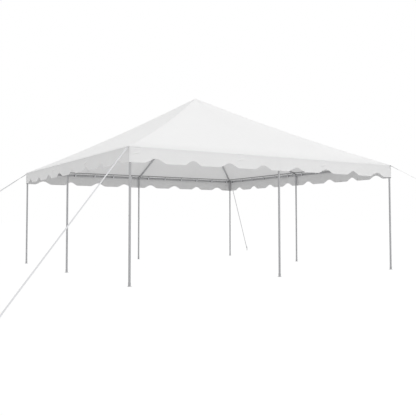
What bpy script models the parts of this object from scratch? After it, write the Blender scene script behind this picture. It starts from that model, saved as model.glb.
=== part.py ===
"""Square frame marquee: eight legs, eave tubes, rafters to a crown, roof sheet, scalloped valances, guys.

Units are metres, +Z is up, and the origin is on the ground under the peak. The front is the -Y side.
"""
import math

import bmesh
import bpy
from mathutils import Euler, Matrix, Vector

# Plan and heights
HALF_SPAN = 3.048           # tent centre to the leg axes: a 20 ft square
CANOPY_HALF = 3.079         # tent centre to the outer face of the valances
EAVE_Z = 2.240              # outer fold where the roof meets the valance
PEAK_Z = 3.905
ROOF_SAG = 0.065            # depth of the roof below a straight line, at half span
SKIN = 0.003                # thickness of the roof sheet and of the valances
VALANCE_BOTTOM_Z = 1.978
GAP = 0.0003                # between pieces that touch

# Tubes and sockets
TUBE_R = 0.019
BORE_R = 0.0195
SLEEVE_R = 0.022
JOINT_R = 0.0226            # ball at the middle of a fitting, just proud of its sockets
SLEEVE_START = 0.006        # joint centre to where a socket leaves the ball
SOCKET_SEAT = 0.055         # joint centre to the bottom of each socket
SLEEVE_LENGTH = 0.140       # joint centre to the mouth of an eave or rafter socket
LEG_SLEEVE_R = 0.024
LEG_SLEEVE_LENGTH = 0.200
SOCKET_AIM = 0.150          # in plan, from a joint to the point of the rafter that its socket aims at
CROWN_SEAT = 0.075
CROWN_SLEEVE_LENGTH = 0.170
CROWN_SLEEVE_START = 0.035
CROWN_AIM = 0.170
CROWN_HUB_R = 0.050
CROWN_HUB_DEPTH = 0.050     # hub below the point where the rafter axes meet
CROWN_DOME_CLEARANCE = 0.002
CROWN_BUTTON_R = 0.015      # small crest of the dome
CROWN_BUTTON_DROP = 0.010
TUBE_SIDES = 24
SLEEVE_SIDES = 16
JOINT_RINGS = 10
RAFTER_SLEEVE_ROLL = math.radians(5)    # keeps its facets off those of the eave sockets
RAFTER_STEPS = 10
RAFTER_BEVEL_RESOLUTION = 6
SHARP_ANGLE = math.radians(35)

# Feet
PLATE_R = 0.036
PLATE_THICKNESS = 0.006
PLATE_CHAMFER = 0.0015
COLLAR_R = 0.0215
COLLAR_HEIGHT = 0.062

# Scalloped lower edge of the valances
SCALLOP_CENTRES = (0.400, 1.158, 1.903, 2.620)      # from the middle of the pattern, to both ends
SCALLOP_SHIFTS = (0.020, -0.031, 0.021, -0.031)     # middle of the pattern from the middle of each side
SCALLOP_WIDTH = 0.395
NARROW_SCALLOP_WIDTH = 0.330    # second arch from each end
SCALLOP_RISE = 0.078
SCALLOP_STEPS = 12

# Guy straps and stakes
STRAP_WIDTH = 0.025
STRAP_THICKNESS = 0.0025
STRAP_TOP_Z = 2.232
STRAP_FOOT_Z = 0.050
ANCHOR_ALONG = 0.040        # corner to the middle of its strap's end, along the side before the corner
STAKE_R = 0.009
STAKE_HEAD_R = 0.019
STAKE_HEAD_THICKNESS = 0.008
STAKE_HEAD_CHAMFER = 0.003
STAKE_HEIGHT = 0.130
STAKES_OUT = (2.602, 2.718, 2.314, 2.718)   # each corner leg to its stake, along X and along Y

# Corners and side middles in turn, each with its quarter turns from the first
CORNERS = ("front_left", "front_right", "back_right", "back_left")
SIDES = ("front", "right", "back", "left")
QUARTER_TURN = math.pi / 2


def clear_scene():
    for obj in list(bpy.data.objects):
        bpy.data.objects.remove(obj, do_unlink=True)


def new_collection(name):
    collection = bpy.data.collections.new(name)
    bpy.context.scene.collection.children.link(collection)
    return collection


def principled(name, colour, roughness, metallic):
    material = bpy.data.materials.new(name)
    material.use_nodes = True
    shader = material.node_tree.nodes["Principled BSDF"]
    shader.inputs["Base Color"].default_value = (*colour, 1.0)
    shader.inputs["Roughness"].default_value = roughness
    shader.inputs["Metallic"].default_value = metallic
    return material


def add_node(name, data, material, location=(0, 0, 0), turn=0.0):
    """Put one named piece into the tent, turned about the vertical and hung under the tent's empty."""
    obj = bpy.data.objects.new(name, data)
    if not data.materials:
        data.materials.append(material)
    tent_collection.objects.link(obj)
    obj.parent = tent
    obj.location = location
    obj.rotation_euler = Euler((0, 0, turn))
    return obj


def smooth(mesh):
    mesh.shade_smooth()
    mesh.set_sharp_from_angle(angle=SHARP_ANGLE)
    return mesh


# Roof shape: one curve that the sheet, the rafters and the fittings all follow

def roof_height(out):
    """Outer face of the roof, out metres from the centre square to a side."""
    rise = 1.0 - out / CANOPY_HALF
    return EAVE_Z + (PEAK_Z - EAVE_Z) * rise - 4 * ROOF_SAG * rise * (1.0 - rise)


def roof_slope(out):
    rise = 1.0 - out / CANOPY_HALF
    return (PEAK_Z - EAVE_Z - 4 * ROOF_SAG * (1.0 - 2 * rise)) / CANOPY_HALF


def axis_height(out):
    """Height of a tube axis whose joints just clear the underside of the sheet."""
    return roof_height(out) - SKIN - (JOINT_R + GAP) * math.hypot(1.0, roof_slope(out))


EAVE_AXIS_Z = axis_height(HALF_SPAN)
CROWN_Z = axis_height(0.0)


def rafter_point(out, is_hip):
    """Point on a rafter axis, as distance from the peak in plan and height."""
    return Vector((out * plan_stretch(is_hip), 0, axis_height(out)))


def plan_stretch(is_hip):
    return math.sqrt(2) if is_hip else 1.0


def fitting_aim(is_hip):
    """Unit vector from a fitting's joint up its rafter, in the rafter's own plane."""
    aimed_out = HALF_SPAN - SOCKET_AIM / plan_stretch(is_hip)
    return (rafter_point(aimed_out, is_hip) - rafter_point(HALF_SPAN, is_hip)).normalized()


def crown_aim(is_hip):
    """Unit vector from the crown down a rafter."""
    aimed_out = CROWN_AIM / plan_stretch(is_hip)
    return (rafter_point(aimed_out, is_hip) - rafter_point(0.0, is_hip)).normalized()


# Mesh helpers

def cylinder_mesh(start, direction, length, radius, sides, roll=0.0):
    """Closed cylinder from start along direction, rolled about its own axis."""
    direction = Vector(direction).normalized()
    middle = Vector(start) + direction * length / 2
    facing = direction.to_track_quat("Z", "Y").to_matrix().to_4x4()
    matrix = Matrix.Translation(middle) @ facing @ Matrix.Rotation(roll, 4, "Z")
    bm = bmesh.new()
    bmesh.ops.create_cone(bm, cap_ends=True, segments=sides, radius1=radius, radius2=radius,
                          depth=length, matrix=matrix)
    mesh = bpy.data.meshes.new("cylinder")
    bm.to_mesh(mesh)
    bm.free()
    return mesh


def box_mesh(size):
    bm = bmesh.new()
    bmesh.ops.create_cube(bm, size=1.0, matrix=Matrix.Diagonal((*size, 1.0)))
    mesh = bpy.data.meshes.new("box")
    bm.to_mesh(mesh)
    bm.free()
    return mesh


def ball_mesh(radius):
    bm = bmesh.new()
    bmesh.ops.create_uvsphere(bm, u_segments=SLEEVE_SIDES, v_segments=JOINT_RINGS, radius=radius)
    mesh = bpy.data.meshes.new("ball")
    bm.to_mesh(mesh)
    bm.free()
    return mesh


def turned_mesh(profile, steps):
    """Closed turned solid from (radius, height) points that start and end on the axis, top first."""
    mesh = bpy.data.meshes.new("turned")
    edges = [(i, i + 1) for i in range(len(profile) - 1)]
    mesh.from_pydata([(radius, 0, height) for radius, height in profile], edges, [])
    obj = bpy.data.objects.new("turned", mesh)
    cutter_collection.objects.link(obj)
    screw = obj.modifiers.new("Screw", "SCREW")
    screw.steps = steps
    screw.render_steps = steps
    screw.use_merge_vertices = True
    screw.merge_threshold = 0.0001
    return take_result(obj)


def take_result(obj):
    """Evaluated mesh of a working object, which is then removed."""
    evaluated = obj.evaluated_get(bpy.context.evaluated_depsgraph_get())
    result = bpy.data.meshes.new_from_object(evaluated)
    bpy.data.objects.remove(obj, do_unlink=True)
    return result


def combine(base, added=(), removed=()):
    """Fuse meshes onto a base and then cut others from it, with exact Booleans."""
    target = bpy.data.objects.new("combined", base)
    cutter_collection.objects.link(target)
    operands = []
    for operation, meshes in (("UNION", added), ("DIFFERENCE", removed)):
        for mesh in meshes:
            cutter = bpy.data.objects.new("cutter", mesh)
            cutter.hide_render = True
            cutter.display_type = "WIRE"
            cutter_collection.objects.link(cutter)
            operands.append(cutter)
            modifier = target.modifiers.new(operation.title(), "BOOLEAN")
            modifier.operation = operation
            modifier.solver = "EXACT"
            modifier.object = cutter
    bpy.context.view_layer.update()
    result = take_result(target)
    for cutter in operands:
        bpy.data.objects.remove(cutter, do_unlink=True)
    return result


# Fittings

def fitting_mesh(is_corner):
    """Sockets that radiate from a joint ball: one for the leg, two for eave tubes, one up the roof."""
    up_roof = fitting_aim(is_corner)
    up_roof.x = -up_roof.x
    up_roof.rotate(Euler((0, 0, QUARTER_TURN / 2 if is_corner else QUARTER_TURN)))
    down = Vector((0, 0, -1))
    along = Vector((1, 0, 0))
    second_eave = Vector((0, 1, 0)) if is_corner else -along
    arms = [(down, LEG_SLEEVE_R, LEG_SLEEVE_LENGTH, 0.0),
            (up_roof, SLEEVE_R, SLEEVE_LENGTH, RAFTER_SLEEVE_ROLL)]
    if is_corner:
        arms += [(along, SLEEVE_R, SLEEVE_LENGTH, 0.0), (second_eave, SLEEVE_R, SLEEVE_LENGTH, 0.0)]
    sleeves = [cylinder_mesh(way * SLEEVE_START, way, reach - SLEEVE_START, radius, SLEEVE_SIDES, roll)
               for way, radius, reach, roll in arms]
    if not is_corner:
        through = 2 * SLEEVE_LENGTH
        sleeves.append(cylinder_mesh(-along * SLEEVE_LENGTH, along, through, SLEEVE_R, SLEEVE_SIDES))
    bores = [cylinder_mesh(way * SOCKET_SEAT, way, LEG_SLEEVE_LENGTH, BORE_R, SLEEVE_SIDES)
             for way in (down, up_roof, along, second_eave)]
    return smooth(combine(ball_mesh(JOINT_R), sleeves, bores))


def add_fittings():
    corner = fitting_mesh(True)
    side = fitting_mesh(False)
    for quarter, name in enumerate(CORNERS):
        turn = quarter * QUARTER_TURN
        place = Vector((-HALF_SPAN, -HALF_SPAN, EAVE_AXIS_Z))
        place.rotate(Euler((0, 0, turn)))
        add_node("corner_fitting_" + name, corner, fitting_steel, place, turn)
    for quarter, name in enumerate(SIDES):
        turn = quarter * QUARTER_TURN
        place = Vector((0, -HALF_SPAN, EAVE_AXIS_Z))
        place.rotate(Euler((0, 0, turn)))
        add_node("side_fitting_" + name, side, fitting_steel, place, turn)


def add_crown():
    """Turned hub with a domed top under the peak and eight sockets down the rafters."""
    hub_top = roof_height(CROWN_HUB_R) - SKIN - CROWN_DOME_CLEARANCE - CROWN_Z
    dome_top = PEAK_Z - SKIN - CROWN_DOME_CLEARANCE * 2 - CROWN_Z
    hub = turned_mesh([(0, dome_top), (CROWN_BUTTON_R, dome_top - CROWN_BUTTON_DROP),
                       (CROWN_HUB_R, hub_top), (CROWN_HUB_R, -CROWN_HUB_DEPTH), (0, -CROWN_HUB_DEPTH)],
                      TUBE_SIDES)
    sleeves = []
    bores = []
    for eighth in range(8):
        way = crown_aim(eighth % 2 == 1)
        way.rotate(Euler((0, 0, eighth * QUARTER_TURN / 2)))
        length = CROWN_SLEEVE_LENGTH - CROWN_SLEEVE_START
        sleeves.append(cylinder_mesh(way * CROWN_SLEEVE_START, way, length, SLEEVE_R, SLEEVE_SIDES))
        bores.append(cylinder_mesh(way * CROWN_SEAT, way, CROWN_SLEEVE_LENGTH, BORE_R, SLEEVE_SIDES))
    crown = smooth(combine(hub, sleeves, bores))
    add_node("crown", crown, fitting_steel, (0, 0, CROWN_Z))


# Tubes

def add_legs():
    """Leg tube in a collar on a round base plate, turned as one piece."""
    top = EAVE_AXIS_Z - SOCKET_SEAT - GAP
    profile = [(0, top), (TUBE_R, top), (TUBE_R, COLLAR_HEIGHT), (COLLAR_R, COLLAR_HEIGHT),
               (COLLAR_R, PLATE_THICKNESS), (PLATE_R - PLATE_CHAMFER, PLATE_THICKNESS),
               (PLATE_R, PLATE_THICKNESS - PLATE_CHAMFER), (PLATE_R, 0), (0, 0)]
    leg = smooth(turned_mesh(profile, TUBE_SIDES))
    for quarter, (corner, side) in enumerate(zip(CORNERS, SIDES)):
        turn = quarter * QUARTER_TURN
        for name, along in ((corner, -HALF_SPAN), (side + "_middle", 0.0)):
            place = Vector((along, -HALF_SPAN, 0))
            place.rotate(Euler((0, 0, turn)))
            add_node("leg_" + name, leg, tube_steel, place, turn)


def add_eave_tubes():
    """Two tubes along each side, from each corner fitting to the middle fitting."""
    length = HALF_SPAN - 2 * (SOCKET_SEAT + GAP)
    tube = smooth(cylinder_mesh((-length / 2, 0, 0), (1, 0, 0), length, TUBE_R, TUBE_SIDES))
    for quarter, side in enumerate(SIDES):
        turn = quarter * QUARTER_TURN
        for half, middle_x in (("a", -HALF_SPAN / 2), ("b", HALF_SPAN / 2)):
            place = Vector((middle_x, -HALF_SPAN, EAVE_AXIS_Z))
            place.rotate(Euler((0, 0, turn)))
            add_node("eave_tube_" + side + "_" + half, tube, tube_steel, place, turn)


def rafter_curve(is_hip):
    """Tube under the roof, straight inside its two sockets and bowed with the roof between them."""
    lowest = HALF_SPAN - SOCKET_AIM / plan_stretch(is_hip)
    highest = CROWN_AIM / plan_stretch(is_hip)
    bow = [rafter_point(lowest + (highest - lowest) * step / RAFTER_STEPS, is_hip)
           for step in range(RAFTER_STEPS + 1)]
    foot = rafter_point(HALF_SPAN, is_hip) + fitting_aim(is_hip) * (SOCKET_SEAT + GAP)
    head = rafter_point(0.0, is_hip) + crown_aim(is_hip) * (CROWN_SEAT + GAP)
    path = [foot, *bow, head]
    curve = bpy.data.curves.new("rafter", "CURVE")
    curve.dimensions = "3D"
    curve.bevel_depth = TUBE_R
    curve.bevel_resolution = RAFTER_BEVEL_RESOLUTION
    curve.use_fill_caps = True
    spline = curve.splines.new("POLY")
    spline.points.add(len(path) - 1)
    for point, place in zip(spline.points, path):
        point.co = (*place, 1.0)
    return curve


def add_rafters():
    hip = rafter_curve(True)
    side = rafter_curve(False)
    for quarter in range(4):
        hip_turn = (quarter - 2) * QUARTER_TURN + QUARTER_TURN / 2
        side_turn = (quarter - 1) * QUARTER_TURN
        add_node("hip_rafter_" + CORNERS[quarter], hip, tube_steel, (0, 0, 0), hip_turn)
        add_node("side_rafter_" + SIDES[quarter], side, tube_steel, (0, 0, 0), side_turn)


# Sheet pieces

def add_canopy_top():
    """Roof sheet: its hip profile turned in four steps, so that the hips are the corners."""
    stations = [CANOPY_HALF * step / RAFTER_STEPS for step in range(RAFTER_STEPS + 1)]
    outer = [(out * math.sqrt(2), roof_height(out)) for out in stations]
    inner = [(out * math.sqrt(2), roof_height(out) - SKIN) for out in reversed(stations)]
    sheet = turned_mesh(outer + inner, 4)
    add_node("canopy_top", sheet, vinyl, (0, 0, 0), QUARTER_TURN / 2)


def scallop_rise(part):
    """Height of an arch at part of its width, from -0.5 to 0.5: straight flanks and a round top."""
    bell = (1 + math.cos(2 * math.pi * part)) / 2
    arc = math.cos(math.pi * part)
    return SCALLOP_RISE * (bell + arc) / 2


def scallop_outline(half_length, top_z, shift):
    """Valance outline, level at the top, with arches cut into the lower edge."""
    points = [(half_length, top_z), (-half_length, top_z), (-half_length, VALANCE_BOTTOM_Z)]
    centres = [shift - centre for centre in reversed(SCALLOP_CENTRES)]
    centres += [shift + centre for centre in SCALLOP_CENTRES]
    for index, centre in enumerate(centres):
        is_narrow = index in (1, len(centres) - 2)
        width = NARROW_SCALLOP_WIDTH if is_narrow else SCALLOP_WIDTH
        for step in range(SCALLOP_STEPS + 1):
            part = step / SCALLOP_STEPS - 0.5
            points.append((centre + part * width, VALANCE_BOTTOM_Z + scallop_rise(part)))
    points.append((half_length, VALANCE_BOTTOM_Z))
    return points


def valance_curve(half_length, shift):
    curve = bpy.data.curves.new("valance", "CURVE")
    curve.dimensions = "2D"
    curve.fill_mode = "BOTH"
    curve.extrude = SKIN / 2
    points = scallop_outline(half_length, EAVE_Z - SKIN - GAP, shift)
    spline = curve.splines.new("POLY")
    spline.points.add(len(points) - 1)
    for point, (along, height) in zip(spline.points, points):
        point.co = (along, height, 0, 1.0)
    spline.use_cyclic_u = True
    return curve


def add_valances():
    """Front and back run to the corners, and the other two fit between them."""
    for quarter, (side, shift) in enumerate(zip(SIDES, SCALLOP_SHIFTS)):
        turn = quarter * QUARTER_TURN
        place = Vector((0, -CANOPY_HALF + SKIN / 2, 0))
        place.rotate(Euler((0, 0, turn)))
        half_length = CANOPY_HALF if quarter % 2 == 0 else CANOPY_HALF - SKIN - GAP
        valance = add_node("valance_" + side, valance_curve(half_length, shift), vinyl, place)
        valance.rotation_euler = Euler((math.pi / 2, 0, turn))


# Guys and stakes

def stake_mesh():
    head_under = STAKE_HEIGHT - STAKE_HEAD_THICKNESS
    profile = [(0, STAKE_HEIGHT), (STAKE_HEAD_R - STAKE_HEAD_CHAMFER, STAKE_HEIGHT),
               (STAKE_HEAD_R, STAKE_HEIGHT - STAKE_HEAD_CHAMFER), (STAKE_HEAD_R, head_under),
               (STAKE_R, head_under), (STAKE_R, 0), (0, 0)]
    return smooth(turned_mesh(profile, SLEEVE_SIDES))


def strap_mesh(length, slant):
    """Flat strap along X, its upper end cut slanting, so that it lies flat on the side that holds it."""
    mesh = box_mesh((length, STRAP_WIDTH, STRAP_THICKNESS))
    for vertex in mesh.vertices:
        if vertex.co.x < 0:
            vertex.co.x += vertex.co.y * slant
    return mesh


def add_guys():
    """Each strap runs straight from beside a corner of the canopy to the shaft of its stake."""
    stake = stake_mesh()
    for quarter, (corner, stake_out) in enumerate(zip(CORNERS, STAKES_OUT)):
        turn = quarter * QUARTER_TURN
        anchor = Vector((-CANOPY_HALF, -CANOPY_HALF + ANCHOR_ALONG, STRAP_TOP_Z))
        stake_at = Vector((-HALF_SPAN - stake_out, -HALF_SPAN - stake_out, STRAP_FOOT_Z))
        flat = (stake_at - anchor).to_2d()
        drop = STRAP_TOP_Z - STRAP_FOOT_Z
        heading = math.atan2(flat.y, flat.x)
        tilt = math.atan2(drop, flat.length - STAKE_R)
        to_side = Vector((-1.0, 0.0)).dot(flat.normalized())
        top_clearance = GAP / to_side + STRAP_THICKNESS / 2 * math.sin(tilt)
        foot_clearance = STAKE_R + GAP + STRAP_THICKNESS / 2 * math.sin(tilt)
        ahead = (flat / flat.length).to_3d()
        top = anchor + ahead * top_clearance
        foot = stake_at - ahead * foot_clearance
        tilt = math.atan2(drop, (foot - top).to_2d().length)
        slant = flat.y / flat.x / math.cos(tilt)
        middle = (top + foot) / 2
        middle.rotate(Euler((0, 0, turn)))
        guy = add_node("guy_strap_" + corner, strap_mesh((foot - top).length, slant), webbing, middle)
        guy.rotation_euler = Euler((0, tilt, heading + turn))
        place = stake_at.copy()
        place.z = 0
        place.rotate(Euler((0, 0, turn)))
        add_node("stake_" + corner, stake, stake_steel, place, heading + turn)


clear_scene()
tent_collection = new_collection("marquee_tent")
cutter_collection = new_collection("cutters")
tent = bpy.data.objects.new("tent", None)
tent_collection.objects.link(tent)

tube_steel = principled("tube_steel", (0.45, 0.46, 0.48), 0.38, 0.9)
fitting_steel = principled("fitting_steel", (0.38, 0.39, 0.41), 0.42, 0.9)
stake_steel = principled("stake_steel", (0.40, 0.41, 0.42), 0.45, 0.9)
vinyl = principled("vinyl", (0.86, 0.86, 0.86), 0.45, 0.0)
webbing = principled("webbing", (0.80, 0.80, 0.81), 0.80, 0.0)

add_legs()
add_fittings()
add_eave_tubes()
add_rafters()
add_crown()
add_canopy_top()
add_valances()
add_guys()
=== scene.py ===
"""Looks of the square frame marquee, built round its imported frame.

Units are metres, +Z is up, and the origin is on the ground under the peak. The front is the -Y side.
Most pieces are made for the front side, or for the front left corner, and turned to the others.
"""

import math

import bmesh
import bpy
import numpy as np
from mathutils import Matrix, Vector


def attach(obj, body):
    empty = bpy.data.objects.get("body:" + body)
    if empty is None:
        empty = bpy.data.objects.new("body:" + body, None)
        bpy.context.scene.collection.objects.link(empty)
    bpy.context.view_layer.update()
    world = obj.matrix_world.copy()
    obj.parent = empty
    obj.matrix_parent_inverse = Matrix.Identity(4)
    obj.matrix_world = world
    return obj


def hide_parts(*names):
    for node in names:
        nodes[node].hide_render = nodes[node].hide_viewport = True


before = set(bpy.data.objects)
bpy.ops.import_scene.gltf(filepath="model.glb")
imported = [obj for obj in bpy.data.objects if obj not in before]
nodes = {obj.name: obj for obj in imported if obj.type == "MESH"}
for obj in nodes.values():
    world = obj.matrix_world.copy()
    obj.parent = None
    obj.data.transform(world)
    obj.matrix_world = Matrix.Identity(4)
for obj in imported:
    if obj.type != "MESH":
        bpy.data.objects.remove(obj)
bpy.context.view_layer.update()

# Driving dimensions of the frame
HALF_SPAN = 3.048  # from the middle to the axes of the corner legs
CANOPY_HALF = 3.079
EAVE_Z = 2.240
PEAK_Z = 3.905
ROOF_SAG = 0.065  # of a rafter below the straight line, half way up
SKIN = 0.003
VALANCE_BOTTOM_Z = 1.978
GAP = 0.0003
TUBE_R = 0.019
SLEEVE_R = 0.022
JOINT_R = 0.0226
SLEEVE_LENGTH = 0.140
LEG_SLEEVE_R = 0.024
LEG_SLEEVE_LENGTH = 0.200
SOCKET_AIM = 0.150
CROWN_SLEEVE_LENGTH = 0.170
CROWN_AIM = 0.170
CROWN_HUB_R = 0.050
PLATE_THICKNESS = 0.006
COLLAR_R = 0.0215
COLLAR_HEIGHT = 0.062
SCALLOP_CENTRES = (0.400, 1.158, 1.903, 2.620)
SCALLOP_SHIFTS = (0.020, -0.031, 0.021, -0.031)
SCALLOP_WIDTH = 0.395
SCALLOP_WIDTHS = (SCALLOP_WIDTH, SCALLOP_WIDTH, 0.330, SCALLOP_WIDTH)
SCALLOP_RISE = 0.078
STRAP_TOP_Z = 2.232
STRAP_FOOT_Z = 0.050
ANCHOR_ALONG = 0.040
STAKE_R = 0.009
STAKES_OUT = (2.602, 2.718, 2.314, 2.718)

CORNERS = ("front_left", "front_right", "back_right", "back_left")
SIDES = ("front", "right", "back", "left")
QUARTER_TURN = math.pi / 2

# Cloth and trim
ROOF_THICKNESS = 0.0012
VALANCE_THICKNESS = 0.0010
FOLD_R = 0.020  # roof sheet bent over the eave tube
CORNER_R = 0.018  # cloth bent round the corners
RIM_DEPTH = 0.034  # roof sheet's lower edge, below the fold, that the valance is sewn behind
VALANCE_TOP_DEPTH = 0.016
SUMMIT_R = 0.012
SAG_BETWEEN_RAFTERS = 0.009

TINY = 1e-6  # keeps a division away from zero


# Points and paths, as arrays

def joined(*parts):
    """Points or texture coordinates, one or many, from parts that may be numbers or arrays."""
    return np.stack(np.broadcast_arrays(*parts), -1).astype(float)


ALONG, INWARD, UP = joined(1, 0, 0), joined(0, 1, 0), joined(0, 0, 1)


def unit(vectors):
    return vectors / np.linalg.norm(vectors, axis=-1, keepdims=True)


def round_turn(count):
    """Even angles once round."""
    return np.arange(count) * 2 * math.pi / count


def on_circle(angles, side, up):
    """Points of a circle of radius one, by their angles from one direction towards another."""
    angles = angles[:, None]
    return np.cos(angles) * np.array(side) + np.sin(angles) * np.array(up)


def lengths_along(path):
    """How far along a path each of its points lies."""
    return np.concatenate([[0.0], np.cumsum(np.linalg.norm(np.diff(path, axis=0), axis=-1))])


def tangents(path, closed):
    if closed:
        return unit(np.roll(path, -1, 0) - np.roll(path, 1, 0))
    return unit(np.gradient(path, axis=0))


def smooth_step(value, low, high):
    part = np.clip((value - low) / (high - low), 0.0, 1.0)
    return part * part * (3 - 2 * part)


def crest(value, top, before, after):
    """One at the top, and down to nothing within a distance before it and after it."""
    return smooth_step(value, top - before, top) * smooth_step(-value, -top - after, -top)


def turned(points, quarter):
    """Points of the front side, or front left corner, turned to another by quarter turns."""
    cosine, sine = ((1, 0), (0, 1), (-1, 0), (0, -1))[quarter % 4]
    x, y, z = np.moveaxis(np.asarray(points, float), -1, 0)
    return joined(cosine * x - sine * y, sine * x + cosine * y, z)


def all_round(points):
    """Points of the front side, then of the other three sides."""
    return np.concatenate([turned(points, quarter) for quarter in range(4)])


def round_corner(points):
    """Points of the front side, with those near its two ends bent round the corners."""
    x, y, z = np.moveaxis(points, -1, 0)
    start = CANOPY_HALF - CORNER_R
    along, out = np.abs(x) - start, -y - start
    bent = (along > 0) & (out > 0)
    angle = math.pi / 4 * np.clip(along / np.maximum(out, TINY), 0.0, 1.0)
    corner = joined(np.sign(x) * (start + out * np.sin(angle)), -(start + out * np.cos(angle)), z)
    return np.where(bent[..., None], corner, points)


# Roof shape, the same curve as the frame's

def roof_height(out):
    rise = 1.0 - out / CANOPY_HALF
    return EAVE_Z + (PEAK_Z - EAVE_Z) * rise - 4 * ROOF_SAG * rise * (1.0 - rise)


def roof_slope(out):
    rise = 1.0 - out / CANOPY_HALF
    return (PEAK_Z - EAVE_Z - 4 * ROOF_SAG * (1.0 - 2 * rise)) / CANOPY_HALF


def axis_height(out):
    """Height of a rafter's axis."""
    return roof_height(out) - SKIN - (JOINT_R + GAP) * np.hypot(1.0, roof_slope(out))


EAVE_AXIS_Z = axis_height(HALF_SPAN)
CROWN_Z = axis_height(0.0)
RAFTER_RISE = (CROWN_Z - EAVE_AXIS_Z) / HALF_SPAN
EAVE_SLOPE = roof_slope(CANOPY_HALF)


# Mesh builders

STRAP_EDGE = 0.12  # largest part of a strap's width that a bevelled edge takes up
GUIDE = (0.31, 0.22, 0.93)  # direction that a bar's facets are first turned to


def new_object(name, data):
    obj = bpy.data.objects.new(name, data)
    bpy.context.scene.collection.objects.link(obj)
    return obj


def grid_quads(index, wrap):
    after = np.roll(index, -1, 1) if wrap else index[:, 1:]
    before = index if wrap else index[:, :-1]
    return np.stack([before[:-1], after[:-1], after[1:], before[1:]], -1).reshape(-1, 4)


def rim_quads(first, second, wrap):
    return grid_quads(np.stack([second, first]), wrap)


class Build:
    """Gathers one piece. Its shapes are made for the front, then turned by the build's quarter turns."""

    def __init__(self, quarter=0):
        self.quarter = quarter
        self.verts, self.faces, self.uvs, self.count = [], [], [], 0

    def add(self, points, faces, uv=None):
        """Points that are in their places already, and faces between them."""
        points = np.asarray(points, float).reshape(-1, 3)
        self.verts.append(points)
        self.join(faces, self.count, uv)
        self.count += len(points)

    def join(self, faces, first, uv):
        """More faces, between points that are counted from the first one."""
        for face in faces:
            self.faces.append([int(index) + first for index in face])
            self.uvs.extend([(0.0, 0.0) if uv is None else tuple(uv[int(index)]) for index in face])

    def shell(self, outer, inner, uv, wrap=False):
        """Closed thin sheet between two grids of points. One that wraps is filled inside its first row."""
        outer, inner = turned(outer, self.quarter), turned(inner, self.quarter)
        rows, columns = outer.shape[:2]
        near = np.arange(rows * columns).reshape(rows, columns)
        far = near + rows * columns
        both_uv = np.concatenate([uv.reshape(-1, 2)] * 2)
        base = self.count
        self.add([outer, inner], grid_quads(near, wrap), both_uv)
        rims = [[near[0][::-1]], rim_quads(far[-1], near[-1], True), [far[0]]]
        if not wrap:
            edges = (near[0], far[0]), (far[-1], near[-1]), (far[:, 0], near[:, 0]), (near[:, -1], far[:, -1])
            rims = [rim_quads(first, second, False) for first, second in edges]
        for faces in [grid_quads(far, wrap)[:, ::-1]] + rims:
            self.join(faces, base, both_uv)

    def strap(self, path, across, width, thickness, closed=False):
        """Flat strap along a path, with thin edges, as one closed solid."""
        path = turned(path, self.quarter)
        across = np.broadcast_to(turned(across, self.quarter), path.shape)
        along = tangents(path, closed)
        across = unit(across - along * np.sum(across * along, -1, keepdims=True))
        up = np.cross(along, across)
        half, thin = width / 2, thickness / 2
        flat = half - min(STRAP_EDGE * width, thickness)
        section = [(-half, 0), (-flat, thin), (flat, thin), (half, 0), (flat, -thin), (-flat, -thin)]
        rings = np.stack([path + across * aside + up * above for aside, above in section], 1)
        uv = joined(lengths_along(path)[:, None], np.array(section)[:, 0])
        self.loft(rings, closed, uv.reshape(-1, 2))

    def tube(self, path, radius, sides, closed=False):
        """Round bar along a path. The radius may be one number or one for each point."""
        path = turned(path, self.quarter)
        along = tangents(path, closed)
        radius = np.broadcast_to(np.asarray(radius, float), (len(path),))
        side = np.zeros_like(path)
        guide = Vector(GUIDE)
        for index, way in enumerate(along):
            way = Vector(way)
            guide = guide - way * guide.dot(way)
            guide.normalize()
            side[index] = guide
        turn = round_turn(sides)[:, None]
        ring = side[:, None] * np.cos(turn) + np.cross(along, side)[:, None] * np.sin(turn)
        self.loft(path[:, None] + radius[:, None, None] * ring, closed)

    def turned_solid(self, place, axis, profile, sides, roll=0.0):
        """Solid of revolution from (radius, along) points, about an axis through place."""
        axis = Vector(turned(axis, self.quarter)).normalized()
        side = axis.orthogonal().normalized()
        side.rotate(Matrix.Rotation(roll, 3, axis))
        radii, along = np.array(profile).T
        centres = turned(place, self.quarter) + along[:, None, None] * np.array(axis)
        self.loft(centres + radii[:, None, None] * on_circle(round_turn(sides), side, axis.cross(side)))

    def loft(self, rings, closed=False, uv=None):
        """Closed solid through rings of points."""
        count, sides = rings.shape[:2]
        index = np.arange(count * sides).reshape(count, sides)
        if closed:
            faces = list(grid_quads(np.concatenate([index, index[:1]]), True))
        else:
            faces = list(grid_quads(index, True)) + [index[0][::-1], index[-1]]
        self.add(rings, faces, uv)

    def piece(self, name, slot, material, sharp=50.0):
        """Make the gathered faces an object that rides on the tent. Edges over the sharp angle stay sharp."""
        mesh = bpy.data.meshes.new(name)
        mesh.from_pydata(np.concatenate(self.verts).tolist(), [], self.faces)
        layer = mesh.uv_layers.new(name="cloth")
        layer.data.foreach_set("uv", np.asarray(self.uvs, np.float32).ravel())
        mesh.materials.append(material)
        solid = bmesh.new()
        solid.from_mesh(mesh)
        bmesh.ops.recalc_face_normals(solid, faces=solid.faces)
        solid.to_mesh(mesh)
        solid.free()
        mesh.shade_smooth()
        mesh.set_sharp_from_angle(angle=math.radians(sharp))
        obj = new_object(name, mesh)
        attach(obj, "root")
        return obj


# Shader nodes

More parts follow.
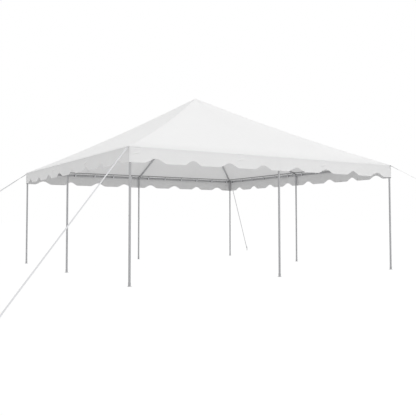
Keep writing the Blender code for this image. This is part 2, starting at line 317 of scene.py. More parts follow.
class Nodes:
    """Short calls that add nodes to one tree."""

    def __init__(self, tree, coordinates):
        self.tree = tree
        self.where = tree.nodes.new("ShaderNodeTexCoord").outputs[coordinates]

    def feed(self, node, inputs):
        """Link or set inputs by name, or by number with an i in front."""
        for key, value in inputs.items():
            numbered = key[0] == "i" and key[1:].isdigit()
            socket = node.inputs[int(key[1:]) if numbered else key.replace("_", " ")]
            if isinstance(value, bpy.types.NodeSocket):
                self.tree.links.new(value, socket)
            else:
                socket.default_value = value

    def add(self, kind, settings=None, **inputs):
        node = self.tree.nodes.new(kind)
        for key, value in (settings or {}).items():
            setattr(node, key, value)
        self.feed(node, inputs)
        return node

    def noise(self, scale, detail, roughness=0.55, where=None):
        where = where or self.where
        node = self.add("ShaderNodeTexNoise", Vector=where, Scale=scale, Detail=detail, Roughness=roughness)
        return node.outputs["Fac"]

    def wave(self, axis, scale, **inputs):
        inputs.update(Vector=self.where, Scale=scale)
        return self.add("ShaderNodeTexWave", {"bands_direction": axis}, **inputs).outputs["Fac"]

    def ramp(self, factor, *stops):
        """Grey that changes between stops, each a place and a tone."""
        node = self.add("ShaderNodeValToRGB", Fac=factor)
        elements = node.color_ramp.elements
        for index, (at, tone) in enumerate(stops):
            element = elements[index] if index < 2 else elements.new(at)
            element.position = at
            element.color = (tone, tone, tone, 1.0)
        return node.outputs["Color"]

    def maths(self, operation, *values):
        inputs = {"i%d" % index: value for index, value in enumerate(values)}
        return self.add("ShaderNodeMath", {"operation": operation}, **inputs).outputs[0]

    def mostly(self, first, second):
        """Six parts of the first value to four of the second."""
        return self.maths("ADD", self.maths("MULTIPLY", first, 0.6), self.maths("MULTIPLY", second, 0.4))

    def vector(self, operation, first, second, output=0):
        node = self.add("ShaderNodeVectorMath", {"operation": operation}, i0=first, i1=second)
        return node.outputs[output]

    def scaled(self, vector, factor):
        node = self.add("ShaderNodeVectorMath", {"operation": "SCALE"}, i0=vector, Scale=factor)
        return node.outputs[0]

    def mix(self, factor, first, second, blend="MIX"):
        settings = {"data_type": "RGBA", "blend_type": blend}
        return self.add("ShaderNodeMix", settings, i0=factor, i6=first, i7=second).outputs[2]

    def bump(self, height, distance, strength, **under):
        node = self.add("ShaderNodeBump", Height=height, Distance=distance, Strength=strength, **under)
        return node.outputs["Normal"]


class Material(Nodes):
    """Material with one main shader."""

    def __init__(self, name, coordinates="Object"):
        self.material = bpy.data.materials.new(name)
        self.material.use_nodes = True
        super().__init__(self.material.node_tree, coordinates)
        self.shader = self.tree.nodes["Principled BSDF"]

    def set(self, **inputs):
        self.feed(self.shader, inputs)


# Materials. The coordinates of their textures are in metres.

COOL_TINT = (0.974, 0.977, 1.0, 1.0)
RUST_COLOUR = (0.16, 0.075, 0.035, 1.0)
VINYL_TONE = 0.965
LIGHT_THROUGH = 0.21  # share of a single layer's shading that is light from behind
SCRIM_SCALE = 250.0
RIB_SCALE = 100.0
YARN_SCALE = 130.0
SPANGLE_SCALE = 130.0
STREAKS = (110.0, 1.6)  # scales across the grain and along it
SCRATCHES = (620.0, 7.0)
TUBE_LOOK = (0.545, 0.42, 0.65)  # tone, roughness and share of metal
# how many times brighter the base plates are painted than their tubes, a painted highlight
PLATE_PAINTED_LIGHT = 1.5
PLATE_MARGIN = 0.0004


def vinyl_material(name, through):
    """White coated cloth: fine scrim under the coating, faint marks, and some light passes through."""
    net = Material(name)
    fine = net.noise(9.0, 5.0)
    marks = net.mostly(net.noise(0.8, 4.0), fine)
    colour = net.ramp(marks, (0.30, VINYL_TONE * 0.988), (0.70, VINYL_TONE * 1.008))
    weave = [net.wave(axis, SCRIM_SCALE) for axis in "XYZ"]
    scrim = net.maths("ADD", net.maths("ADD", weave[0], weave[1]), weave[2])
    ripple = net.bump(net.noise(3.0, 2.0), 0.003, 0.4)
    normal = net.bump(scrim, 0.00006, 0.35, Normal=ripple)
    roughness = net.ramp(fine, (0.3, 0.46), (0.7, 0.56))
    net.set(Base_Color=colour, Roughness=roughness, Normal=normal, Specular_IOR_Level=0.35)
    if through:
        glow = net.add("ShaderNodeBsdfTranslucent", Color=colour, Normal=normal)
        both = net.add("ShaderNodeMixShader", i0=through, i1=net.shader.outputs[0], i2=glow.outputs[0])
        net.feed(net.tree.nodes["Material Output"], {"Surface": both.outputs[0]})
    return net.material


def webbing_material(name, tone):
    """Woven strap: ribs across it and finer yarns along it."""
    net = Material(name, "UV")
    weave = net.mostly(net.wave("X", RIB_SCALE, Distortion=0.6, Detail=1.0), net.wave("Y", YARN_SCALE))
    worn = net.ramp(net.noise(35.0, 4.0), (0.3, tone * 0.94), (0.7, tone * 1.03))
    cloth = net.mix(0.22, worn, net.ramp(weave, (0.2, tone * 0.72), (0.8, tone * 1.1)))
    cloth = net.mix(1.0, cloth, COOL_TINT, "MULTIPLY")
    normal = net.bump(weave, 0.0004, 0.7)
    net.set(Base_Color=cloth, Roughness=0.82, Normal=normal, Specular_IOR_Level=0.25)
    return net.material


def steel_material(name, tone, rough, metal, grain=(0.0, 0.0, 1.0), rust=0.0, plate=False):
    """Galvanised steel: faint spangle, streaks along the grain, dull patches, rust where asked, and where
    asked a painted highlight that makes the legs' base plates brighter.
    """
    net = Material(name)
    lengthwise = net.scaled(grain, net.vector("DOT_PRODUCT", net.where, grain, "Value"))
    crosswise = net.vector("SUBTRACT", net.where, lengthwise)
    wide, narrow = [net.vector("ADD", net.scaled(crosswise, across), net.scaled(lengthwise, along))
                    for across, along in (STREAKS, SCRATCHES)]
    streak = net.noise(1.0, 3.0, 0.6, wide)
    scratch = net.noise(1.0, 2.0, 0.5, narrow)
    cells = net.add("ShaderNodeTexVoronoi", Vector=net.where, Scale=SPANGLE_SCALE)
    flake = net.add("ShaderNodeSeparateColor", Color=cells.outputs["Color"]).outputs[0]
    dull = net.noise(9.0, 4.0, 0.6)
    drawn = net.ramp(streak, (0.3, tone * 0.90), (0.7, tone * 1.10))
    spangled = net.mix(0.35, drawn, net.ramp(flake, (0.0, tone * 0.93), (1.0, tone * 1.07)))
    dulled = net.mix(0.25, spangled, net.ramp(dull, (0.35, tone * 0.86), (0.65, tone * 1.08)))
    colour = net.mix(1.0, dulled, COOL_TINT, "MULTIPLY")
    if plate:
        # painted highlight: the legs' base plates are painted brighter than their tubes, standing in for the
        # light that falls on them
        height = net.add("ShaderNodeSeparateXYZ", Vector=net.where).outputs["Z"]
        on_plate = net.maths("LESS_THAN", height, PLATE_THICKNESS + PLATE_MARGIN)
        brighter = net.maths("ADD", 1.0, net.maths("MULTIPLY", on_plate, PLATE_PAINTED_LIGHT - 1.0))
        colour = net.scaled(colour, brighter)
    if rust:
        patch = net.ramp(net.noise(22.0, 7.0, 0.7), (0.60 - rust * 0.3, 0.0), (0.72 - rust * 0.2, 1.0))
        colour = net.mix(patch, colour, RUST_COLOUR)
        metal = net.maths("MULTIPLY", net.maths("SUBTRACT", 1.0, patch), metal)
    roughness = net.ramp(dull, (0.3, rough * 1.15), (0.7, rough * 0.85))
    net.set(Base_Color=colour, Roughness=roughness, Metallic=metal, Normal=net.bump(scratch, 0.00004, 0.5))
    return net.material


def small_part_material(name, tone, rough, metal=0.0):
    """Bolt, weld, cord or thread with a faint grain."""
    net = Material(name)
    grain = net.noise(220.0, 4.0)
    colour = net.ramp(grain, (0.3, tone * 0.85), (0.7, tone * 1.2))
    roughness = net.ramp(grain, (0.3, rough * 0.9), (0.7, rough * 1.15))
    net.set(Base_Color=colour, Roughness=roughness, Metallic=metal, Normal=net.bump(grain, 0.0003, 0.3))
    return net.material


vinyl = vinyl_material("vinyl_cloth", LIGHT_THROUGH)
vinyl_double = vinyl_material("vinyl_double_layer", 0.0)
webbing_white = webbing_material("webbing_white", 0.75)
tie_webbing = webbing_material("tie_webbing", 0.92)
# the webbing strip under the eave is real, but its dark grey tone is partly painted shade, standing in for
# the light the layers above keep out
webbing_grey_painted_shade = webbing_material("webbing_grey_painted_shade", 0.34)
tube_finish = steel_material("galvanised_tube", *TUBE_LOOK, plate=True)
# the fittings are painted lighter than the tubes, painted light that offsets the shade they sit in under the
# roof
fitting_painted_lighter = steel_material("galvanised_fitting", 0.62, 0.38, 0.75)
stake_finish = steel_material("worn_stake", 0.50, 0.40, 0.7, rust=0.12)
weld_finish = small_part_material("weld_bead", 0.30, 0.40, 0.7)
bolt_finish = small_part_material("zinc_bolt", 0.42, 0.30, 0.85)
dark_cord = small_part_material("dark_cord", 0.05, 0.80)
ring_finish = small_part_material("ring_steel", 0.16, 0.35, 0.8)
thread = small_part_material("thread", 0.72, 0.75)


def tube_grain(name):
    """Lengthwise direction of an eave tube or a rafter, from its name."""
    way, quarter = ALONG, [side in name for side in SIDES].index(True)
    if name.startswith("side_rafter"):
        way = INWARD + UP * RAFTER_RISE
    elif name.startswith("hip_rafter"):
        way = ALONG + INWARD + UP * RAFTER_RISE
        quarter = [name.endswith(corner) for corner in CORNERS].index(True)
    return tuple(round(float(part), 4) + 0.0 for part in unit(turned(way, quarter)))


tube_finishes = {}
for name, obj in nodes.items():
    finish = tube_finish
    if "fitting" in name or name == "crown":
        finish = fitting_painted_lighter
    elif name.startswith("stake"):
        finish = stake_finish
    elif "tube" in name or "rafter" in name:
        grain = tube_grain(name)
        if grain not in tube_finishes:
            tube_finishes[grain] = steel_material("galvanised_" + name, *TUBE_LOOK, grain)
        finish = tube_finishes[grain]
    for slot in obj.material_slots:
        slot.material = finish


# Roof sheet

PUCKERS = (-2.95, -0.90, 1.10)  # creases under each fold, along the front from its middle
PUCKER_HALF = 0.085
PUCKER_END = 0.045
PUCKER_FALL, PUCKER_RISE = 0.006, 0.024
GROOVE_DEPTH, RIDGE_DEPTH = 0.020, 0.112
GROOVE_SIZE, RIDGE_SIZE = 0.0060, 0.0065
RIDGE_LEAN = 0.22
PULL_SIZE = 0.0016  # folds that fan out from a corner
PULL_REACH = 0.45
PULL_FOLDS = 14.0
PULL_START, PULL_CLEAR = (0.02, 0.12), (0.02, 0.10)  # growth from the corner, and from the eave
SUMMIT_ROWS = (0.002, 0.010, 0.024, 0.045)
SLOPE_START, SLOPE_ROWS, FOLD_ROWS = 0.075, 62, 5
RIM_ROWS = (0.018, 0.022, 0.026, 0.030, RIM_DEPTH)
CORNER_COLUMNS = (0.0, 0.003, 0.007, 0.012, 0.018, 0.030)
PUCKER_COLUMNS, EVEN_COLUMNS = 11, 81
CLEAR_OF_CORNER, CLEAR_OF_PUCKER = 0.008, 0.005  # parts of half a side that even columns stay away


def pucker(u, depth):
    """Short creases along the valance: a groove just below the fold, and a ridge half way down."""
    wave = 0.0
    for place in PUCKERS:
        along = smooth_step(PUCKER_HALF - np.abs(u - place), 0.0, PUCKER_END)
        groove = crest(depth, GROOVE_DEPTH, PUCKER_FALL, PUCKER_RISE)
        ridge = crest(depth + RIDGE_LEAN * (u - place), RIDGE_DEPTH, PUCKER_RISE, PUCKER_FALL)
        wave = wave + along * (RIDGE_SIZE * ridge - GROOVE_SIZE * groove)
    return wave


def sag_between(u, out):
    """How far the cloth hangs below its rafters, none at the hips, the side rafter and the eave."""
    part = np.clip(np.abs(u) / np.maximum(out, TINY), 0.0, 1.0)
    down = np.clip(out / CANOPY_HALF, 0.0, 1.0)
    return 4 * SAG_BETWEEN_RAFTERS * np.sin(math.pi * part) ** 2 * down ** 1.5 * (1.0 - down)


def corner_pulls(u, out):
    """Shallow folds that run in from each corner, where the guys pull."""
    across, inward = CANOPY_HALF - np.abs(u), CANOPY_HALF - out
    reach = np.hypot(across, inward)
    angle = np.arctan2(inward, np.maximum(across, TINY))
    fade = np.exp(-reach / PULL_REACH) * smooth_step(reach, *PULL_START) * smooth_step(inward, *PULL_CLEAR)
    return PULL_SIZE * fade * np.sin(angle * PULL_FOLDS) * np.sin(2 * angle)


def roof_surface(u, out, offset=0.0):
    """Point on the front side of the roof, offset along its normal."""
    slope = roof_slope(out)
    lean = np.hypot(1.0, slope)
    z = roof_height(np.hypot(out, SUMMIT_R)) - sag_between(u, out) + corner_pulls(u, out)
    return joined(u, -(out + offset * slope / lean), z + offset / lean)


def roof_profile():
    """Rows of the roof sheet from the summit to the rim: (out, height, normal out, normal up)."""
    rows = []
    lean = math.atan(EAVE_SLOPE)
    centre_out = CANOPY_HALF - FOLD_R
    centre_z = roof_height(centre_out) - FOLD_R * math.hypot(1.0, EAVE_SLOPE)
    fold_start = centre_out + FOLD_R * math.sin(lean)
    for out in SUMMIT_ROWS + tuple(np.linspace(SLOPE_START, fold_start, SLOPE_ROWS)):
        slope = roof_slope(out)
        length = math.hypot(1.0, slope)
        rows.append((out, roof_height(math.hypot(out, SUMMIT_R)), slope / length, 1.0 / length))
    for step in range(1, FOLD_ROWS + 1):
        angle = lean + (QUARTER_TURN - lean) * step / FOLD_ROWS
        sine, cosine = math.sin(angle), math.cos(angle)
        rows.append((centre_out + FOLD_R * sine, centre_z + FOLD_R * cosine, sine, cosine))
    return rows + [(CANOPY_HALF, EAVE_Z - depth, 1.0, 0.0) for depth in RIM_ROWS]


def roof_columns():
    """Places from corner to corner, as parts of half a side, close together where the cloth bends."""
    near = 1.0 - np.array(CORNER_COLUMNS) / CANOPY_HALF
    creased = [place + np.linspace(-PUCKER_HALF, PUCKER_HALF, PUCKER_COLUMNS) for place in PUCKERS]
    creased = np.concatenate(creased) / CANOPY_HALF
    even = np.linspace(-1.0, 1.0, EVEN_COLUMNS)
    even = even[np.abs(even) < near[-1] - CLEAR_OF_CORNER]
    even = even[np.abs(even[:, None] - creased).min(1) > CLEAR_OF_PUCKER]
    return np.sort(np.concatenate([-near, even, creased, near[1:]]))


def make_roof():
    rows = roof_profile()
    travelled = lengths_along([row[:2] for row in rows])
    outer, inner, uv = [], [], []
    for (out, height, normal_out, normal_up), length in zip(rows, travelled):
        u = roof_columns() * out
        z = height - sag_between(u, min(out, CANOPY_HALF)) + corner_pulls(u, out)
        swell = pucker(u, EAVE_Z - height) if normal_up == 0.0 else 0.0
        inside = out - normal_out * ROOF_THICKNESS
        outer.append(all_round(round_corner(joined(u, -(out + swell), z))))
        inner_row = joined(u * inside / out, -(inside + swell), z - normal_up * ROOF_THICKNESS)
        inner.append(all_round(round_corner(inner_row)))
        uv.append(np.tile(joined(u, length), (4, 1)))
    build = Build()
    build.shell(np.array(outer), np.array(inner), np.array(uv), wrap=True)
    return build.piece("roof_sheet", "vinyl", vinyl)


roof = make_roof()
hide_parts("canopy_top")

SEAM_PLACES = (-1.54, 0.0, 1.54)
SEAM_OFFSETS = (-0.0160, -0.0064, 0.0064, 0.0160)
SEAM_LIFTS = (0.0003, -0.0003)  # a seam's upper and lower face, from the roof sheet's upper face
SEAM_TOP = 0.12
SEAM_FROM_HIP = 0.03
SEAM_END = 0.014
HIP_OFFSETS = (0.024, 0.012, 0.003)
HIP_STRIP_TOP, HIP_STRIP_END = 0.034, 0.012
SEAM_ROWS, HIP_STRIP_ROWS = 60, 82


def make_roof_seams():
    """Welded overlaps: three down each side of the roof and one down each hip."""
    build = Build()
    for quarter in range(4):
        build.quarter = quarter
        for place in SEAM_PLACES:
            top = max(abs(place) + SEAM_FROM_HIP, SEAM_TOP)
            outs = np.linspace(top, CANOPY_HALF - SEAM_END, SEAM_ROWS)
            u, out = np.broadcast_arrays(place + np.array(SEAM_OFFSETS), outs[:, None])
            outer, inner = [roof_surface(u, out, lift) for lift in SEAM_LIFTS]
            build.shell(outer, inner, np.stack([u, out], -1))
        outs = np.linspace(HIP_STRIP_TOP, CANOPY_HALF - HIP_STRIP_END, HIP_STRIP_ROWS)
        strips = []
        for lift in SEAM_LIFTS:
            after = [round_corner(roof_surface(offset - outs, outs, lift)) for offset in HIP_OFFSETS[::-1]]
            before = [round_corner(roof_surface(outs - offset, outs, lift)) for offset in HIP_OFFSETS]
            strips.append(np.stack([turned(row, -1) for row in before] + after, 1))
        across = np.linspace(-HIP_OFFSETS[0], HIP_OFFSETS[0], 6)
        build.shell(*strips, joined(outs[:, None], across))
    return build.piece("roof_seams", "vinyl", vinyl)


roof_seams = make_roof_seams()


# Valances

HEM_DROPS = ((0.0, 0.0), (0.016, 0.010), (0.009, 0.008), (0.0, 0.0))  # below the frame's, at a side's ends
STATION_STEP = 0.0125
SWAYS = ((0.0032, 4.1, 0.0, 1), (0.0024, 9.7, 1.3, 2), (0.0010, 23.0, 0.0, 1))  # size, pace, start, shifts
SIDE_SHIFT = 1.7  # of the sways, from one side to the next
FLUTTER = (0.0005, 57.0, 2.0, 6.3)  # size, pace, and how far and how fast its start shifts along the side
SWAY_GROWTH, CREASE_GROWTH = 1.6, 0.5  # powers of the part of the way down
CREASES = ((-2.62, 0.0030), (-1.68, 0.0026), (-0.35, 0.0022), (0.33, 0.0030), (1.55, 0.0020),
           (2.20, 0.0026), (2.72, 0.0022))
CREASE_WIDTH = 0.022
ENDS_STILL = (0.01, 0.30)
HEM_DEPTH = 0.013
HEM_LIFT = 0.0005
HEM_EDGE = 0.0006
VALANCE_INSET = 0.0006
VALANCE_END_GAP = 0.0009
VALANCE_ROWS = np.concatenate([np.arange(VALANCE_TOP_DEPTH, 0.046, 0.003), np.arange(0.050, 0.088, 0.0095),
                               np.arange(0.089, 0.122, 0.003), [0.130, 0.140]])  # close at the puckers
STITCH_PITCH = 0.0090
STITCH_LENGTH = 0.0062
STITCH_ABOVE = 0.0105  # from the hem's lower edge up to the thread
STITCH_START = 0.004
STITCH_END_GAP = 0.022
THREAD_HALF = 0.00045
BLOCK_FACES = ((0, 1, 2, 3), (4, 5, 6, 7), (0, 1, 5, 4), (1, 2, 6, 5), (2, 3, 7, 6), (3, 0, 4, 7))


def scallops(quarter):
    """Middle and width of each arch along one side."""
    shift = SCALLOP_SHIFTS[quarter]
    arches = zip(SCALLOP_CENTRES, SCALLOP_WIDTHS)
    return sorted((shift + sign * centre, width) for centre, width in arches for sign in (-1, 1))


def scallop_height(u, quarter):
    """Height of the valance's lower edge."""
    z = VALANCE_BOTTOM_Z - np.interp(u, (-CANOPY_HALF, CANOPY_HALF), HEM_DROPS[quarter])
    for centre, width in scallops(quarter):
        angle = math.pi * np.clip((u - centre) / width, -0.5, 0.5)
        z = z + SCALLOP_RISE * ((1 + np.cos(2 * angle)) / 2 + np.cos(angle)) / 2
    return z


def valance_stations(half, quarter):
    """Places along the valance, with one at each end of every arch."""
    stops = [-half]
    for centre, width in scallops(quarter):
        stops += [centre - width / 2, centre + width / 2]
    stops.append(half)
    stations = []
    for start, end in zip(stops, stops[1:]):
        steps = max(3, int(round((end - start) / STATION_STEP)))
        stations.append(np.linspace(start, end, steps + 1)[:-1])
    return np.append(np.concatenate(stations), half)


def valance_wave(u, z, quarter):
    """How far the valance stands out from flat, in metres."""
    depth = EAVE_Z - z
    free = np.clip(depth / (EAVE_Z - VALANCE_BOTTOM_Z), 0.0, 1.0)
    size, pace, shift, shift_pace = FLUTTER
    sway = size * np.sin(u * pace + shift * np.sin(u * shift_pace))
    for size, pace, start, shifts in SWAYS:
        sway = sway + size * np.sin(u * pace + start + SIDE_SHIFT * quarter * shifts)
    wave = sway * free ** SWAY_GROWTH
    for place, size in CREASES:
        away = u - place * (-1) ** quarter
        wave = wave + size * free ** CREASE_GROWTH * np.exp(-(away / CREASE_WIDTH) ** 2)
    return wave * smooth_step(CANOPY_HALF - np.abs(u), *ENDS_STILL) + pucker(u, depth)


def make_valance(quarter):
    stations = valance_stations(CANOPY_HALF - VALANCE_END_GAP, quarter)
    lower = scallop_height(stations, quarter)
    level = EAVE_Z - VALANCE_ROWS[-1]
    fall = lower + HEM_DEPTH + HEM_EDGE - level
    rows = [(EAVE_Z - depth, 0.0) for depth in VALANCE_ROWS]
    rows += [(level + fall * part, 0.0) for part in np.linspace(0.0, 1.0, 10)[1:]]
    rows += [(lower + above, HEM_LIFT) for above in (HEM_DEPTH, HEM_DEPTH / 2, HEM_EDGE)]
    rows.append((lower, HEM_LIFT * 0.4))
    outer, inner, uv = [], [], []
    for z, lift in rows:
        out = CANOPY_HALF - VALANCE_INSET + valance_wave(stations, z, quarter)
        inside = stations * (1 - VALANCE_THICKNESS / CANOPY_HALF)
        outer.append(round_corner(joined(stations, -(out + lift), z)))
        inner.append(round_corner(joined(inside, -(out - VALANCE_THICKNESS - lift), z)))
        uv.append(joined(stations, z))
    build = Build(quarter)
    build.shell(outer, inner, np.array(uv))
    valance = build.piece("valance_sheet_" + SIDES[quarter], "vinyl", vinyl)
    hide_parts("valance_" + SIDES[quarter])
    return valance


def make_hem_stitches(quarter):
    """Row of thread along the hem, which follows the arches."""
    stations = valance_stations(CANOPY_HALF - STITCH_END_GAP, quarter)
    line = scallop_height(stations, quarter) + STITCH_ABOVE
    travelled = lengths_along(np.stack([stations, line], -1))
    starts = np.arange(STITCH_START, travelled[-1] - STITCH_LENGTH, STITCH_PITCH)
    ends = []
    for at in (starts, starts + STITCH_LENGTH):
        u, z = np.interp(at, travelled, stations), np.interp(at, travelled, line)
        ends.append(joined(u, -(CANOPY_HALF - VALANCE_INSET + HEM_LIFT + valance_wave(u, z, quarter)), z))
    asides = np.cross((ends[1] - ends[0]) / STITCH_LENGTH, -INWARD) * THREAD_HALF
    build = Build()
    for start, end, aside in zip(*ends, asides):
        corners = [place + aside * sign * share + INWARD * inward
                   for share, inward in ((1.0, THREAD_HALF / 2), (0.4, -THREAD_HALF))
                   for place, sign in ((start, -1), (start, 1), (end, 1), (end, -1))]
        build.add(turned(corners, quarter), BLOCK_FACES)
    return build.piece("hem_stitches_" + SIDES[quarter], "vinyl", thread, 30.0)


valances = [make_valance(quarter) for quarter in range(4)]
stitches = [make_hem_stitches(quarter) for quarter in range(4)]


# Under the eave: double band, grey webbing whose dark tone is partly painted shade, and the ties round the
# tubes

BAND, WEBBING = (2.992, 3.040, 0.0008), (2.951, 2.990, 0.0014)  # nearest, furthest out, thickness
STRIP_DROP = 0.0002  # below the roof sheet
STRIP_END_GAP = 0.0015
STRIP_ROWS, STRIP_COLUMNS = 5, 90
TIE_PITCH = 0.525
TIE_STARTS = ((-2.885, 0.295), (-2.885, 0.295), (-2.905, 0.24), (-2.905, 0.24))  # first on each half
TIES_PER_HALF = 6
TIE_WIDTH = 0.034
TIE_THICKNESS = 0.0014
TIE_CLEAR = 0.0003  # between the tube and the tie
TIE_ROOT_OUT = 3.004
TIE_ROOT_DROP = 0.0045
TIE_STEPS = (0.0, 0.35, 0.7)  # parts of the way from the root to the tube
TIE_BEND_POINTS = 22
KNOT_SIZE = 0.0115
KNOT_CORD_R = 0.0036
KNOT_ASIDE, KNOT_IN, KNOT_BELOW = 0.033, 0.009, 0.011  # from the tie, the tube's side and its axis
CORD_R = 0.0024
CORD_ASIDE, CORD_IN, CORD_ABOVE = 0.012, 0.005, 0.012
CORD_SLACK = 0.002
EYELET_OUT = 3.000
EYELET_DROP = 0.0016
EYELET_AXIS = (0.0, 0.415, -0.910)
EYELET_PROFILE = ((0.0030, -0.0004), (0.0085, -0.0004), (0.0085, 0.0010), (0.0030, 0.0016))


def under_roof(u, out, drop):
    """Point below the inner face of the roof sheet on the front side."""
    return roof_surface(u, out, -ROOF_THICKNESS - drop)


def eave_strip(name, low, high, thickness, material, slot, quarter):
    """Flat strip along one side, under the roof between two distances out."""
    out = np.linspace(low, high, STRIP_ROWS)[:, None]
    u = np.linspace(-1.0, 1.0, STRIP_COLUMNS) * (out - STRIP_END_GAP)
    u, out = np.broadcast_arrays(u, out)
    upper, lower = [under_roof(u, out, drop) for drop in (STRIP_DROP, STRIP_DROP + thickness)]
    build = Build(quarter)
    build.shell(upper, lower, np.stack([u, out], -1))
    return build.piece(name + "_" + SIDES[quarter], slot, material)


def tie_path():
    """Loop from the grey webbing round the eave tube and back, as (out, height) points."""
    centre = np.array([HALF_SPAN, EAVE_AXIS_Z])
    radius = TUBE_R + TIE_CLEAR + TIE_THICKNESS / 2
    drop = (ROOF_THICKNESS + TIE_ROOT_DROP) * math.hypot(1, roof_slope(TIE_ROOT_OUT))
    root = np.array([TIE_ROOT_OUT, roof_height(TIE_ROOT_OUT) - drop])
    to_root = root - centre
    base = math.atan2(to_root[1], to_root[0])
    spread = math.acos(radius / np.hypot(*to_root))
    angles = np.linspace(base + spread, base + 2 * math.pi - spread, TIE_BEND_POINTS)
    bend = centre + radius * on_circle(angles, (1, 0), (0, 1))
    there = root + np.outer(TIE_STEPS, bend[0] - root)
    back = root + np.outer(TIE_STEPS[:0:-1], bend[-1] - root)
    return np.vstack([there, bend, back])


def knot_path(centre):
    """Overhand knot, drawn tight."""
    turn = round_turn(24)
    x = (np.sin(turn) + 2 * np.sin(2 * turn)) / 3
    y = (np.cos(turn) - 2 * np.cos(2 * turn)) / 3
    return centre + KNOT_SIZE * joined(x, -np.sin(3 * turn) / 3, y)


def make_ties(quarter):
    loop = tie_path()
    build, knots = Build(quarter), Build(quarter)
    away = (-1) ** quarter
    tube_side = HALF_SPAN - TUBE_R
    for start in TIE_STARTS[quarter]:
        for index in range(TIES_PER_HALF):
            u = start + index * TIE_PITCH
            build.strap(joined(u, -loop[:, 0], loop[:, 1]), ALONG, TIE_WIDTH, TIE_THICKNESS, True)
            spot = joined(u + away * KNOT_ASIDE, KNOT_IN - tube_side, EAVE_AXIS_Z - KNOT_BELOW)
            knots.tube(knot_path(spot), KNOT_CORD_R, 6, True)
            # cord from the knot over the tie to its eyelet on the band
            eyelet = under_roof(u, EYELET_OUT, EYELET_DROP) * UP + joined(u, -EYELET_OUT, 0.0)
            middle = joined(u + away * CORD_ASIDE, CORD_IN - tube_side, EAVE_AXIS_Z + CORD_ABOVE)
            cord = [spot, (spot + middle) / 2 + INWARD * CORD_SLACK, middle, eyelet]
            knots.tube(cord, CORD_R, 6)
            knots.turned_solid(eyelet, EYELET_AXIS, EYELET_PROFILE, 16)
    build.piece("eave_ties_" + SIDES[quarter], "webbing", tie_webbing)
    knots.piece("tie_knots_" + SIDES[quarter], "webbing", dark_cord, 60.0)


bands, grey_webs = [], []
for quarter in range(4):
    bands.append(eave_strip("eave_band", *BAND, vinyl_double, "vinyl", quarter))
    grey_webs.append(eave_strip("eave_webbing", *WEBBING, webbing_grey_painted_shade, "webbing", quarter))
    make_ties(quarter)


# Guys: ring beside each corner, woven strap, loop round the stake

RING_R = 0.016
RING_BAR = 0.0027
RING_AWAY = 0.030  # from the canopy's side to the middle of the ring
STRAP_WIDTH = 0.025
STRAP_THIN = 0.0013
EYE_CLEAR = 0.0012  # from the ring's bar to the middle of the strap that passes round it
EYE_INSET = 0.001
STRAP_STOP = 0.05  # before the stake's axis
STRAP_TAIL = (0.16, 0.12, 0.08, 0.04)
STRAP_NEAR, STRAP_FAR, STRAP_FAR_POINTS = (0.04, 0.60, 24), 0.65, 48  # distances from the eye, and counts
TWISTS = (0.0, 0.0, 25.0, 85.0)  # degrees that each strap turns about its own length between its ends
TWIST_TOP, TWIST_FOOT = (0.17, 0.50), (0.05, 0.60)
LOOP_WIDTH = 0.022
LOOP_THIN = 0.0014
LOOP_CLEAR = 0.002
LOOP_OPEN = math.pi * 0.62
LOOP_ABOVE, LOOP_SPREAD = 0.001, 0.0012  # of its ends, on the strap's end
TAB_UNDER = 0.014  # from the canopy's side in to the tab's start
TAB_DROP = 0.0115  # of the tab's start below the eave's height
TAB_SPREAD = 0.0011
TAB_STRAIGHT = 0.004


